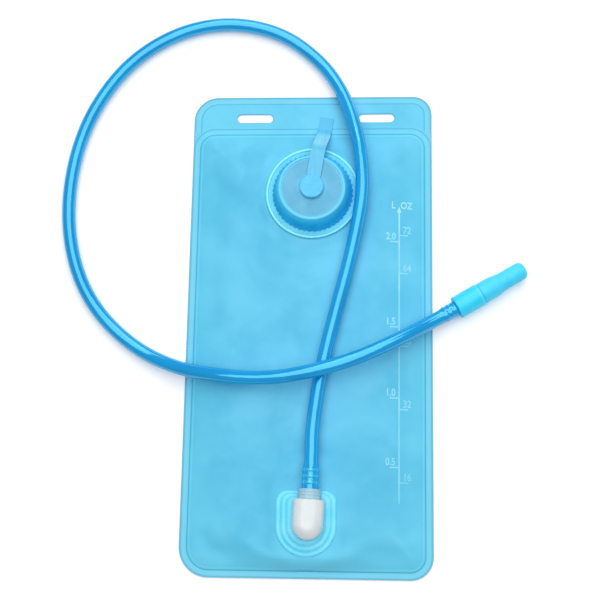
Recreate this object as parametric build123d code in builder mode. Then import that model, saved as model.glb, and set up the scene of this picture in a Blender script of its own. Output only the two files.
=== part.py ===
from build123d import *

import os
from math import cos, pi, radians, sin, tan

# Hydration bladder: a welded film bag with a screw filler, an outlet port, a drinking hose and a bite valve.
# Millimetres, +Z up. The bag lies on its back, header towards +Y. The origin is on the resting face, at the
# middle of the bag's outline.

# The bag
BAG_WIDTH, BAG_LENGTH = 178.0, 352.0
CORNER_RADII = (21.0, 16.0, 14.0, 18.0)  # anticlockwise from the bottom left
FILM = 0.4  # thickness of one sheet
SIDE_WELD, BOTTOM_WELD = 5.3, 5.0  # widths of the edge weld
HEADER = 29.4  # from the top edge to the weld that closes the reservoir
RESERVOIR_RADII = (16.0, 11.0, 11.0, 11.0)
PUFF = 10.0  # top of the front sheet, with the bag nearly empty
SLOPE = 9.0  # width of the front sheet's sloping margin
SLOPE_TOP_RADIUS = 4.0
SLOT_LENGTH, SLOT_WIDTH, SLOT_SPACING = 27.0, 6.6, 91.0
SLOT_X, SLOT_Y = 2.4, 159.4  # middle of the pair of slots

# The filler, a screw cap on a neck
FILLER_X, FILLER_Y = 1.7, 97.7
FLANGE_RADIUS, FLANGE_THICKNESS, BEAD_WIDTH, BEAD_HEIGHT = 34.0, 1.6, 1.5, 0.6
NECK_BORE, NECK_RADIUS, NECK_TOP = 19.0, 20.6, 20.95
THREAD_PITCH, THREAD_TURNS, THREAD_START = 5.0, 1.0, 14.2
THREAD_DEPTH, THREAD_OVERLAP = 1.2, 0.3
THREAD_BASE, THREAD_CREST = 1.8, 0.8  # widths of the ridge
CAP_BOTTOM, CAP_TOP = 12.6, 25.0
CAP_FOOT_RADIUS, CAP_RIM_RADIUS, CAP_BORE = 28.6, 23.8, 22.2
CAP_RECESS, CAP_PLATE = 0.6, 1.0  # depth of the sunk disc and the thickness left under it
CAP_RIM_WIDTH, CAP_WALL = 1.5, 1.5
RIB_COUNT, RIB_RADIUS, RIB_TOP = 48, 29.1, 21.6
RIB_FLANKS = (0.35, 0.65)  # where a rib's crest begins and ends, as shares of one step
LINER_RADIUS, LINER_THICKNESS, POCKET_RADIUS, POCKET_DEPTH = 21.7, 1.4, 6.2, 0.8
GASKET_THICKNESS, GASKET_WIDTH = 1.0, 3.1

# The tether
STRAP_WIDTH, STRAP_THICKNESS, STRAP_END = 10.0, 1.0, (11.0, 159.0)
STRAP_EYE_RADIUS, STRAP_HOLE, STRAP_LIFT = 8.0, 4.0, 0.3
STRAP_LEAVES, STRAP_LANDS, STRAP_BENDS = 29.0, 52.0, (14.0, 6.0)  # from the cap's axis, and the bends' radii
BUTTON_RADIUS, BUTTON_THICKNESS, STEM_RADIUS, SNAP_RADIUS = 8.7, 2.2, 3.6, 4.9

# The outlet
PORT_X, PORT_Y = 0.5, -140.4  # centre of the D's round end
# each terrace's radius, reach, corner radius and rise
TERRACES = ((21.2, 24.3, 8.0, 1.2), (17.4, 22.1, 7.0, 1.2), (13.2, 19.8, 5.0, 0.8))
OUTLET_TURN = 3.0  # degrees that the outlet points right of +Y
OUTLET_HEIGHT = 18.6
COLLAR_RADIUS, COLLAR_LENGTH, COLLAR_EDGE = 7.75, 7.2, 0.4
GROOVES, GROOVE_DEPTH = (2.6, 4.8), 0.25  # along the collar
TAIL_LENGTH, TAIL_TIP = 17.0, 3.5  # the barbed end inside the hose
CONNECTOR_BARBS = (0.8, 4.2, 3, 3.7, 4.6)  # start, pitch, count, root and crest radii
ELBOW_WIDTH, ELBOW_LENGTH, ELBOW_HEIGHT, ELBOW_ROUND = 21.4, 26.9, 13.3, 8.4
SPIGOT_RADIUS, SPIGOT_LENGTH = 5.0, 9.0
FOOT_RADIUS, FOOT_REACH, PORT_BORE, WATERWAY = 5.0, 17.0, 5.3, 2.6
RING_SECTION = 0.6  # radius of the elbow's O-ring section

# The hose
HOSE_RADIUS, HOSE_BORE = 4.9, 3.25
HOSE_START = Vector(3.3, -116.1, OUTLET_HEIGHT)
HOSE_END = Vector(104.6, 13.4, 8.1)

# The bite valve
VALVE_TURN = 30.8  # degrees from +X
VALVE_RADIUS, VALVE_LENGTH, VALVE_WALL, VALVE_BORE, VALVE_EDGE = 8.1, 19.8, 2.0, 6.7, 0.4
VALVE_BARBS = (-12.0, 4.0, 3, 3.4, 4.0)  # start, pitch, count, root and crest radii
STEM_RADIUS_IN, STEM_BORE, STEM_HEAD, STEM_HEAD_END = 3.2, 1.8, 6.6, 4.5
GROOVE_MIDDLE, GROOVE_HALF, GROOVE_RADIUS, VALVE_RING_SECTION = 14.1, 0.7, 2.4, 0.525
PLUG_RADIUS, PLUG_START, PLUG_END, CROSS_HOLE, CROSS_HOLE_AT = 2.3, 23.5, 26.4, 1.0, 21.2
SKIRT_RADIUS, SKIRT_START, SKIRT_BORE, SKIRT_BORE_END = 6.35, 7.0, 3.55, 19.5
MOUTH_RADIUS, MOUTH_START, MOUTH_WAIST, MOUTH_NECK = 7.7, 20.0, 28.0, 39.0
MOUTH_TIP_RADIUS, MOUTH_ROUND, MOUTH_END, MOUTH_FLAT = 6.45, 51.4, 56.2, 2.2
SEAT_START, SEAT_END, SEAT_BORE, MOUTH_BORE = 24.0, 26.5, 2.5, 4.7
SLIT_WIDTH, SLIT_LENGTH, LIP_THICKNESS = 0.6, 7.0, 2.8


def outline(half_width, low, high, radii, z):
    """A rectangle 2 * half_width wide, from low to high along Y, with a radius for each corner."""
    corners = [(-half_width, low), (half_width, low), (half_width, high), (-half_width, high)]
    with BuildSketch(Plane.XY.offset(z)) as face:
        with BuildLine():
            FilletPolyline(corners, radius=radii, close=True)
        make_face()
    return face.sketch


def sheet_outline(z):
    """The outer edge of both sheets."""
    return outline(BAG_WIDTH / 2, -BAG_LENGTH / 2, BAG_LENGTH / 2, CORNER_RADII, z)


def reservoir_outline(z, inset):
    """The inner edge of the welds, or the same drawn in by inset."""
    half_width = BAG_WIDTH / 2 - SIDE_WELD - inset
    low = -BAG_LENGTH / 2 + BOTTOM_WELD + inset
    high = BAG_LENGTH / 2 - HEADER - inset
    radii = [max(radius - inset, SLOPE_TOP_RADIUS) for radius in RESERVOIR_RADII]
    return outline(half_width, low, high, radii, z)


def thread(root, crest, start_angle):
    """A helical ridge round the filler's axis, from the radius root to the radius crest."""
    sunk = root - THREAD_OVERLAP if crest > root else root + THREAD_OVERLAP
    with BuildPart() as ridge:
        with BuildLine() as path:
            Helix(THREAD_PITCH, THREAD_PITCH * THREAD_TURNS, root, center=(FILLER_X, FILLER_Y, THREAD_START))
        with BuildSketch(Plane(origin=path.line @ 0, x_dir=(1, 0, 0), z_dir=path.line % 0)):
            with BuildLine():
                Polyline(
                    (sunk - root, -THREAD_BASE / 2),
                    (crest - root, -THREAD_CREST / 2),
                    (crest - root, THREAD_CREST / 2),
                    (sunk - root, THREAD_BASE / 2),
                    close=True,
                )
            make_face()
        sweep(path=path.line, is_frenet=True)
    return ridge.part.rotate(filler_axis, start_angle)


def rib_outline(root, crest, z):
    """The ribbed outline of the cap's skirt at one height, for the radii root and crest."""
    step = 2 * pi / RIB_COUNT
    points = []
    for rib in range(RIB_COUNT):
        for share, radius in ((0, root), (RIB_FLANKS[0], crest), (RIB_FLANKS[1], crest)):
            angle = (rib + share) * step
            points.append((radius * cos(angle), radius * sin(angle)))
    with BuildSketch(filler_centre.offset(z)) as face:
        with BuildLine():
            Polyline(points, close=True)
        make_face()
    return face.sketch


def barbs(start, pitch, count, root, crest):
    """Points (along, radius) of a row of sawtooth barbs that rise towards the fitting's body."""
    points = []
    for index in range(count):
        along = start + index * pitch
        points += [(along, root), (along + 0.7 * pitch, crest), (along + 0.7 * pitch, root)]
    return points


filler_section = Plane(origin=(FILLER_X, FILLER_Y, 0), x_dir=(1, 0, 0), z_dir=(0, -1, 0))
filler_axis = Axis((FILLER_X, FILLER_Y, 0), (0, 0, 1))
filler_centre = Plane(origin=(FILLER_X, FILLER_Y, 0))

outlet_way = Vector(sin(radians(OUTLET_TURN)), cos(radians(OUTLET_TURN)), 0)
outlet_across = Vector(outlet_way.Y, -outlet_way.X, 0)
collar_rear = HOSE_START - outlet_way * COLLAR_LENGTH
foot_centre = collar_rear - outlet_way * FOOT_REACH  # the elbow's foot, over the hole into the reservoir

# The two sheets. The front one is a shallow tray on a flat rim, and the rims lie face to face in the welds.

with BuildSketch() as slots:
    with Locations((SLOT_X - SLOT_SPACING / 2, SLOT_Y), (SLOT_X + SLOT_SPACING / 2, SLOT_Y)):
        SlotOverall(SLOT_LENGTH, SLOT_WIDTH)

with BuildPart() as back_film:
    extrude(sheet_outline(0), amount=FILM)
    extrude(slots.sketch, amount=FILM, mode=Mode.SUBTRACT)

with BuildPart() as front_film:
    extrude(sheet_outline(FILM), amount=FILM)
    loft([reservoir_outline(2 * FILM, 0), reservoir_outline(PUFF, SLOPE)], ruled=True)
    loft([reservoir_outline(FILM, 0), reservoir_outline(PUFF - FILM, SLOPE)], ruled=True, mode=Mode.SUBTRACT)
    extrude(slots.sketch, amount=PUFF, mode=Mode.SUBTRACT)
    with BuildSketch():
        with Locations((FILLER_X, FILLER_Y)):
            Circle(NECK_BORE + 0.5)
        with Locations((foot_centre.X, foot_centre.Y)):
            Circle(PORT_BORE + 0.2)
    extrude(amount=PUFF, mode=Mode.SUBTRACT)

# The filler's neck: a round flange with a raised bead at its edge, and a threaded tube.

neck_thread = thread(NECK_RADIUS, NECK_RADIUS + THREAD_DEPTH, 0)
flange_top = PUFF + FLANGE_THICKNESS

with BuildPart() as filler_neck:
    with BuildSketch(filler_section):
        with BuildLine():
            FilletPolyline(
                (NECK_BORE, PUFF),
                (FLANGE_RADIUS, PUFF),
                (FLANGE_RADIUS, flange_top + BEAD_HEIGHT),
                (FLANGE_RADIUS - BEAD_WIDTH, flange_top + BEAD_HEIGHT),
                (FLANGE_RADIUS - BEAD_WIDTH - BEAD_HEIGHT, flange_top),
                (NECK_RADIUS, flange_top),
                (NECK_RADIUS, NECK_TOP),
                (NECK_BORE, NECK_TOP),
                radius=[0, 0, 0.5, 0.4, 0, 0.3, 0.3, 0.3],
                close=True,
            )
        make_face()
    revolve(axis=filler_axis)
    add(neck_thread)

# The cap: a double-walled shell with a sunk disc on top, ribs on its skirt and a thread on the inner wall.

cap_thread = thread(CAP_BORE, CAP_BORE - THREAD_DEPTH, 180)
plate_top = CAP_TOP - CAP_RECESS
plate_bottom = plate_top - CAP_PLATE
skirt_gap_top = plate_bottom - 2.0
skirt_middle = CAP_FOOT_RADIUS - CAP_WALL / 2

with BuildPart() as cap_shell:
    with BuildSketch(filler_section):
        with BuildLine():
            FilletPolyline(
                (STRAP_HOLE, plate_bottom),
                (CAP_BORE, plate_bottom),
                (CAP_BORE, CAP_BOTTOM),
                (CAP_FOOT_RADIUS, CAP_BOTTOM),
                (CAP_RIM_RADIUS, CAP_TOP),
                (CAP_RIM_RADIUS - CAP_RIM_WIDTH, CAP_TOP),
                (CAP_RIM_RADIUS - CAP_RIM_WIDTH, plate_top),
                (STRAP_HOLE, plate_top),
                radius=[0, 0, 0.3, 0.4, 0.7, 0.3, 0, 0.3],
                close=True,
            )
        make_face()
    revolve(axis=filler_axis)
    ribs_low = rib_outline(skirt_middle, RIB_RADIUS, CAP_BOTTOM)
    ribs_high = rib_outline(CAP_RIM_RADIUS - 1, CAP_RIM_RADIUS - 1, RIB_TOP)
    loft([ribs_low, ribs_high], ruled=True)
    with BuildSketch(filler_section):
        with BuildLine():
            Polyline(
                (0, CAP_BOTTOM - 1),
                (CAP_BORE, CAP_BOTTOM - 1),
                (CAP_BORE, plate_bottom),
                (0, plate_bottom),
                close=True,
            )
        make_face()
        with BuildLine():
            Polyline(
                (CAP_BORE + CAP_WALL, CAP_BOTTOM - 1),
                (CAP_FOOT_RADIUS - CAP_WALL, CAP_BOTTOM - 1),
                (CAP_RIM_RADIUS, skirt_gap_top),
                (CAP_BORE + CAP_WALL, skirt_gap_top),
                close=True,
            )
        make_face()
    revolve(axis=filler_axis, mode=Mode.SUBTRACT)
    add(cap_thread)

with BuildPart() as cap_liner:
    with BuildSketch(filler_section):
        with BuildLine():
            Polyline(
                (0, plate_bottom - LINER_THICKNESS),
                (LINER_RADIUS, plate_bottom - LINER_THICKNESS),
                (LINER_RADIUS, plate_bottom),
                (POCKET_RADIUS, plate_bottom),
                (POCKET_RADIUS, plate_bottom - POCKET_DEPTH),
                (0, plate_bottom - POCKET_DEPTH),
                close=True,
            )
        make_face()
    revolve(axis=filler_axis)

gasket_top = plate_bottom - LINER_THICKNESS

with BuildPart() as cap_gasket:
    with BuildSketch(filler_centre.offset(gasket_top - GASKET_THICKNESS)):
        Circle(LINER_RADIUS)
        Circle(LINER_RADIUS - GASKET_WIDTH, mode=Mode.SUBTRACT)
    extrude(amount=GASKET_THICKNESS)

# The tether: a strap welded flat on the header, which rises over the cap's rim to an eye round the button.

strap_x, strap_y = STRAP_END[0] - FILLER_X, STRAP_END[1] - FILLER_Y
strap_reach = (strap_x**2 + strap_y**2) ** 0.5
strap_section = Plane(
    origin=(FILLER_X, FILLER_Y, 0), x_dir=(strap_x, strap_y, 0), z_dir=(strap_y, -strap_x, 0)
)
strap_bottom = CAP_TOP + STRAP_LIFT
strap_high = strap_bottom + STRAP_THICKNESS / 2
strap_low = 2 * FILM + STRAP_THICKNESS / 2

with BuildPart() as tether_strap:
    with BuildLine(strap_section) as strap_path:
        strap_bends = [(STRAP_LEAVES, strap_high), (STRAP_LANDS, strap_low)]
        FilletPolyline([(0, strap_high), *strap_bends, (strap_reach, strap_low)], radius=STRAP_BENDS)
    with BuildSketch(Plane(origin=strap_path.line @ 0, x_dir=(0, 0, 1), z_dir=strap_path.line % 0)):
        Rectangle(STRAP_THICKNESS, STRAP_WIDTH)
    sweep(path=strap_path.line)
    with BuildSketch(filler_centre.offset(strap_bottom)):
        Circle(STRAP_EYE_RADIUS)
    extrude(amount=STRAP_THICKNESS)
    with BuildSketch(filler_centre.offset(strap_bottom)):
        Circle(STRAP_HOLE)
    extrude(amount=STRAP_THICKNESS, mode=Mode.SUBTRACT)

button_bottom = strap_bottom + STRAP_THICKNESS + 0.1
snap_bottom = plate_bottom - POCKET_DEPTH + 0.2

with BuildPart() as tether_button:
    with BuildSketch(filler_section):
        with BuildLine():
            Polyline(
                (0, snap_bottom),
                (STEM_RADIUS, snap_bottom),
                (SNAP_RADIUS, snap_bottom + 0.3),
                (SNAP_RADIUS, plate_bottom - 0.15),
                (STEM_RADIUS, plate_bottom - 0.15),
                (STEM_RADIUS, button_bottom),
                (BUTTON_RADIUS, button_bottom),
                (BUTTON_RADIUS, button_bottom + BUTTON_THICKNESS),
                (0, button_bottom + BUTTON_THICKNESS),
                close=True,
            )
        make_face()
    revolve(axis=filler_axis)
    fillet(tether_button.faces().sort_by(Axis.Z)[-1].edges(), radius=0.8)

# The outlet: a terraced D-shaped flange, a white elbow on it and a barbed connector in the elbow's mouth.

outlet_section = Plane(origin=collar_rear, x_dir=outlet_way, z_dir=outlet_across)
outlet_axis = Axis(collar_rear, outlet_way)
port_top = PUFF + sum(terrace[3] for terrace in TERRACES)
foot_plane = Plane(origin=(foot_centre.X, foot_centre.Y, PUFF))

with BuildPart() as port_flange:
    level = PUFF
    for radius, reach, corner, rise in TERRACES:
        with BuildSketch(Plane(origin=(PORT_X, PORT_Y, level))):
            with BuildLine():
                FilletPolyline((radius, 0), (radius, reach), (-radius, reach), (-radius, 0), radius=corner)
                CenterArc((0, 0), radius, 180, 180)
            make_face()
        extrude(amount=rise)
        level += rise
    fillet(port_flange.faces().sort_by(Axis.Z)[-1].edges(), radius=0.4)
    with BuildSketch(foot_plane):
        Circle(PORT_BORE)
    extrude(amount=port_top - PUFF, mode=Mode.SUBTRACT)
    with BuildSketch(Plane(origin=collar_rear, z_dir=outlet_way)):
        Circle(COLLAR_RADIUS + 0.15)
    extrude(amount=COLLAR_LENGTH * 2, mode=Mode.SUBTRACT)

with BuildPart() as outlet_elbow:
    with BuildSketch(Plane(origin=(collar_rear.X, collar_rear.Y, port_top), x_dir=outlet_across)):
        with BuildLine():
            half_width = ELBOW_WIDTH / 2
            straight = ELBOW_LENGTH - half_width
            Polyline((-half_width, -straight), (-half_width, 0), (half_width, 0), (half_width, -straight))
            CenterArc((0, -straight), half_width, 180, 180)
        make_face()
    extrude(amount=ELBOW_HEIGHT)
    top_edges = outlet_elbow.faces().sort_by(Axis.Z)[-1].edges()
    front_edge = top_edges.sort_by(outlet_axis)[-1]
    fillet([edge for edge in top_edges if edge != front_edge], radius=ELBOW_ROUND)
    with BuildSketch(foot_plane):
        Circle(FOOT_RADIUS)
    extrude(amount=port_top - PUFF)
    with BuildSketch(Plane(origin=(foot_centre.X, foot_centre.Y, PUFF + 1.0))):
        Circle(FOOT_RADIUS)
        Circle(PORT_BORE - 2 * RING_SECTION, mode=Mode.SUBTRACT)
    extrude(amount=2 * RING_SECTION + 0.1, mode=Mode.SUBTRACT)
    with BuildSketch(foot_plane):
        Circle(WATERWAY)
    extrude(amount=OUTLET_HEIGHT - PUFF + WATERWAY, mode=Mode.SUBTRACT)
    with BuildSketch(Plane(origin=collar_rear, z_dir=-outlet_way)):
        Circle(WATERWAY)
    extrude(amount=FOOT_REACH, mode=Mode.SUBTRACT)
    with BuildSketch(Plane(origin=collar_rear, z_dir=-outlet_way)):
        Circle(SPIGOT_RADIUS)
    extrude(amount=SPIGOT_LENGTH, mode=Mode.SUBTRACT)

with BuildPart() as elbow_o_ring:
    ring_centre = Plane(origin=(foot_centre.X, foot_centre.Y, PUFF + 1.0 + RING_SECTION + 0.05))
    with Locations(ring_centre):
        Torus(PORT_BORE - RING_SECTION, RING_SECTION)

tail_end = COLLAR_LENGTH + TAIL_LENGTH
grooves = []
for middle in GROOVES:
    for along, depth in ((-0.4, 0), (-0.2, GROOVE_DEPTH), (0.2, GROOVE_DEPTH), (0.4, 0)):
        grooves.append((middle + along, COLLAR_RADIUS - depth))

with BuildPart() as hose_connector:
    with BuildSketch(outlet_section):
        with BuildLine():
            Polyline(
                (-SPIGOT_LENGTH, WATERWAY),
                (-SPIGOT_LENGTH, SPIGOT_RADIUS),
                (0, SPIGOT_RADIUS),
                (0, COLLAR_RADIUS - COLLAR_EDGE),
                (COLLAR_EDGE, COLLAR_RADIUS),
                *grooves,
                (COLLAR_LENGTH - COLLAR_EDGE, COLLAR_RADIUS),
                (COLLAR_LENGTH, COLLAR_RADIUS - COLLAR_EDGE),
                (COLLAR_LENGTH, CONNECTOR_BARBS[3]),
                *[(tail_end - along, radius) for along, radius in reversed(barbs(*CONNECTOR_BARBS))],
                (tail_end, TAIL_TIP),
                (tail_end, WATERWAY),
                close=True,
            )
        make_face()
    revolve(axis=outlet_axis)

# The hose. It rises off the outlet, runs up past the cap, leaves the bag over the header, loops round on the
# table, comes back over the bag's left edge, crosses over itself and leaves over the right edge to the valve.

valve_way = Vector(cos(radians(VALVE_TURN)), sin(radians(VALVE_TURN)), 0)
valve_across = Vector(valve_way.Y, -valve_way.X, 0)

HOSE_ROUTE = [
    HOSE_START,
    HOSE_START + outlet_way * 19.0,
    Vector(4.0, -74.5, 17.0),
    Vector(8.6, -40.0, 15.5),
    Vector(14.2, -12.5, 15.4),
    Vector(21.4, 17.0, 15.4),
    Vector(28.4, 44.0, 16.2),
    Vector(34.0, 70.5, 17.8),
    Vector(38.2, 97.0, 18.4),
    Vector(36.6, 125.5, 17.6),
    Vector(31.8, 149.5, 14.4),
    Vector(21.7, 178.7, 7.6),
    Vector(5.8, 202.6, 4.95),
    Vector(-22.6, 225.3, 4.95),
    Vector(-60.8, 234.8, 4.95),
    Vector(-100.1, 228.4, 4.95),
    Vector(-136.4, 205.4, 4.95),
    Vector(-161.6, 171.0, 4.95),
    Vector(-175.6, 132.1, 4.95),
    Vector(-179.7, 86.3, 4.95),
    Vector(-171.7, 43.5, 4.95),
    Vector(-153.7, 10.2, 4.95),
    Vector(-124.7, -16.3, 4.95),
    Vector(-93.2, -31.6, 10.4),
    Vector(-65.0, -37.2, 17.8),
    Vector(-37.0, -40.5, 22.8),
    Vector(-8.6, -39.0, 27.4),
    Vector(30.7, -28.5, 27.4),
    Vector(62.0, -13.0, 22.4),
    HOSE_END - valve_way * 16.0,
    HOSE_END,
]


def corner_radii(points):
    """The largest arc that each corner has room for: 0.45 of its shorter run over half its turn's tangent."""
    radii = []
    for before, corner, after in zip(points, points[1:], points[2:]):
        arriving, leaving = corner - before, after - corner
        half_turn = radians(arriving.get_angle(leaving)) / 2
        radii.append(0.45 * min(arriving.length, leaving.length) / tan(half_turn))
    return radii


hose_radii = corner_radii(HOSE_ROUTE)

with BuildPart() as drink_hose:
    with BuildLine() as hose_path:
        FilletPolyline(HOSE_ROUTE, radius=hose_radii)
    with BuildSketch(Plane(origin=HOSE_START, z_dir=outlet_way)):
        Circle(HOSE_RADIUS)
        Circle(HOSE_BORE, mode=Mode.SUBTRACT)
    sweep(path=hose_path.line)

hose_length = sum(edge.length for edge in hose_path.edges())
hose_section = pi * (HOSE_RADIUS**2 - HOSE_BORE**2)
print("hose length", round(hose_length, 1), "radii", [round(radius) for radius in hose_radii])
print("hose volume", round(drink_hose.part.volume), "section x length", round(hose_section * hose_length))

# The bite valve: a barbed connector whose plug closes the mouthpiece's seat until the mouthpiece is pulled.

valve_section = Plane(origin=HOSE_END, x_dir=valve_way, z_dir=valve_across)
valve_axis = Axis(HOSE_END, valve_way)
collar_hole = 4.5  # radius of the hole in the collar's rear wall

with BuildPart() as valve_connector:
    with BuildSketch(valve_section):
        with BuildLine():
            Polyline(
                (VALVE_BARBS[0], STEM_BORE),
                *barbs(*VALVE_BARBS),
                (0, VALVE_BARBS[3]),
                (0, collar_hole - 0.1),
                (VALVE_WALL, collar_hole - 0.1),
                (VALVE_WALL, STEM_HEAD),
                (STEM_HEAD_END, STEM_HEAD),
                (STEM_HEAD_END, STEM_RADIUS_IN),
                (GROOVE_MIDDLE - GROOVE_HALF, STEM_RADIUS_IN),
                (GROOVE_MIDDLE - GROOVE_HALF, GROOVE_RADIUS),
                (GROOVE_MIDDLE + GROOVE_HALF, GROOVE_RADIUS),
                (GROOVE_MIDDLE + GROOVE_HALF, STEM_RADIUS_IN),
                (VALVE_LENGTH, STEM_RADIUS_IN),
                (PLUG_START, STEM_RADIUS_IN - 0.3),
                (PLUG_START, PLUG_RADIUS),
                (PLUG_END - 0.4, PLUG_RADIUS),
                (PLUG_END, PLUG_RADIUS - 0.4),
                (PLUG_END, 0),
                (CROSS_HOLE_AT + CROSS_HOLE + 0.2, 0),
                (CROSS_HOLE_AT + CROSS_HOLE + 0.2, STEM_BORE),
                close=True,
            )
        make_face()
    revolve(axis=valve_axis)
    with BuildSketch(Plane(origin=HOSE_END + valve_way * CROSS_HOLE_AT, z_dir=valve_across)):
        Circle(CROSS_HOLE)
    extrude(amount=VALVE_RADIUS, both=True, mode=Mode.SUBTRACT)

with BuildPart() as valve_collar:
    with BuildSketch(valve_section):
        with BuildLine():
            Polyline(
                (0, collar_hole),
                (0, VALVE_RADIUS - VALVE_EDGE),
                (VALVE_EDGE, VALVE_RADIUS),
                (VALVE_LENGTH - VALVE_EDGE, VALVE_RADIUS),
                (VALVE_LENGTH, VALVE_RADIUS - VALVE_EDGE),
                (VALVE_LENGTH, VALVE_BORE),
                (VALVE_WALL, VALVE_BORE),
                (VALVE_WALL, collar_hole),
                close=True,
            )
        make_face()
    revolve(axis=valve_axis)

with BuildPart() as valve_o_ring:
    with Locations(Plane(origin=HOSE_END + valve_way * GROOVE_MIDDLE, z_dir=valve_way)):
        Torus(GROOVE_RADIUS + VALVE_RING_SECTION, VALVE_RING_SECTION)

lip_start = MOUTH_END - LIP_THICKNESS

with BuildPart() as mouthpiece:
    with BuildSketch(valve_section):
        with BuildLine():
            Polyline(
                (SEAT_START, SEAT_BORE),
                (SEAT_START, MOUTH_BORE),
                (SKIRT_BORE_END, MOUTH_BORE),
                (SKIRT_BORE_END, SKIRT_BORE),
                (SKIRT_START, SKIRT_BORE),
                (SKIRT_START, SKIRT_RADIUS),
                (MOUTH_START, SKIRT_RADIUS),
                (MOUTH_START, MOUTH_RADIUS - 0.3),
                (MOUTH_START + 0.3, MOUTH_RADIUS),
                (MOUTH_WAIST, MOUTH_RADIUS),
            )
            Spline((MOUTH_WAIST, MOUTH_RADIUS), (MOUTH_NECK, MOUTH_TIP_RADIUS), tangents=((1, 0), (1, 0)))
            Line((MOUTH_NECK, MOUTH_TIP_RADIUS), (MOUTH_ROUND, MOUTH_TIP_RADIUS))
            Spline((MOUTH_ROUND, MOUTH_TIP_RADIUS), (MOUTH_END, MOUTH_FLAT), tangents=((1, 0), (0, -1)))
            Polyline(
                (MOUTH_END, MOUTH_FLAT),
                (MOUTH_END, 0),
                (lip_start, 0),
                (lip_start, MOUTH_BORE - 1.2),
                (lip_start - 1.2, MOUTH_BORE),
                (SEAT_END, MOUTH_BORE),
                (SEAT_END, SEAT_BORE),
                (SEAT_START, SEAT_BORE),
            )
        make_face()
    revolve(axis=valve_axis)
    with BuildSketch(Plane(origin=HOSE_END + valve_way * MOUTH_ROUND, x_dir=(0, 0, 1), z_dir=valve_way)):
        Rectangle(SLIT_WIDTH, SLIT_LENGTH)
    extrude(amount=MOUTH_RADIUS, mode=Mode.SUBTRACT)

pieces = {
    "back_film": back_film,
    "front_film": front_film,
    "filler_neck": filler_neck,
    "cap_shell": cap_shell,
    "cap_liner": cap_liner,
    "cap_gasket": cap_gasket,
    "tether_strap": tether_strap,
    "tether_button": tether_button,
    "port_flange": port_flange,
    "outlet_elbow": outlet_elbow,
    "elbow_o_ring": elbow_o_ring,
    "hose_connector": hose_connector,
    "drink_hose": drink_hose,
    "valve_connector": valve_connector,
    "valve_collar": valve_collar,
    "valve_o_ring": valve_o_ring,
    "mouthpiece": mouthpiece,
}

os.makedirs("parts", exist_ok=True)
for name, piece in pieces.items():
    piece.part.label = name
    export_step(piece.part, f"parts/{name}.step")
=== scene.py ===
import math

import bpy
import numpy as np
from mathutils import Matrix, Vector, geometry, noise


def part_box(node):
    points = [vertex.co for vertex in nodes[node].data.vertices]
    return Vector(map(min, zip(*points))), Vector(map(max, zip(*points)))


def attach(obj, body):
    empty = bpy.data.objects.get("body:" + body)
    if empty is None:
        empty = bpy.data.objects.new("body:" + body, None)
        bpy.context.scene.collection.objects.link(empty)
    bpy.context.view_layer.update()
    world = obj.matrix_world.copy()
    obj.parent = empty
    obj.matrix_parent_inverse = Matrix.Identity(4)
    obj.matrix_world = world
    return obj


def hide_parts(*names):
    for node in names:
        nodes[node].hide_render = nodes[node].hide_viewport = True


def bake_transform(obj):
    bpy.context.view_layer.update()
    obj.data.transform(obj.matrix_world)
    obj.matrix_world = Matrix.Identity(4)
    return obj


# Hydration bladder. Shapes are worked out in millimetres, as in the CAD, and scaled once, by MM.
MM = 0.001

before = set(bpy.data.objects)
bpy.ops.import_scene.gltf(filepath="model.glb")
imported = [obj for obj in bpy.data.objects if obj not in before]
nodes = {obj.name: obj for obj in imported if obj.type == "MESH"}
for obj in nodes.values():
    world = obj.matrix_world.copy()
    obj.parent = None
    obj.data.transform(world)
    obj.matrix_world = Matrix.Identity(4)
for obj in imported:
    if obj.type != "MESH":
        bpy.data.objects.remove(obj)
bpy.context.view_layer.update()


def box_mm(node):
    low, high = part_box(node)
    return low / MM, high / MM


# Places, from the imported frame
neck_low, neck_high = box_mm("filler_neck")
cap_low, cap_high = box_mm("cap_shell")
CAP_X, CAP_Y = (neck_low.x + neck_high.x) / 2, (neck_low.y + neck_high.y) / 2
CAP_BOTTOM, CAP_TOP = cap_low.z, cap_high.z
FLANGE_FOOT = neck_low.z
FILM_TOP = box_mm("front_film")[1].z
STRAP_TOP = box_mm("tether_strap")[1].z
ELBOW_FOOT = box_mm("outlet_elbow")[0].z

# The bag
SHEET = (-89.0, 89.0, -176.0, 176.0)  # left, right, low, high
SHEET_RADII = (21.0, 16.0, 14.0, 18.0)  # anticlockwise from the bottom left
RESERVOIR = (-83.7, 83.7, -171.0, 146.6)
RESERVOIR_RADII = (16.0, 11.0, 11.0, 11.0)
FILM = 0.4  # thickness of one sheet
SEAL_WIDTH = 4.3  # of the heat seal round the reservoir, and of the one at the header's edge
RIM_SEAL_AT = 1.1  # from the header's edge to its seal
DRAWN_IN_X, DRAWN_IN_Y = 0.988, 0.9975  # what a little air in the bag takes off its width and length
SLOTS = ((-43.1, 159.4), (47.9, 159.4))  # the hanging slots' middles
SLOT_LENGTH, SLOT_WIDTH = 27.0, 6.6
NECK_HOLE, FLANGE_RADIUS = 19.5, 34.0
PORT_X, PORT_Y = 0.5, -140.4
OUTLET_HOLE, OUTLET_HOLE_AT = 5.5, (2.03, -140.27)

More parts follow.
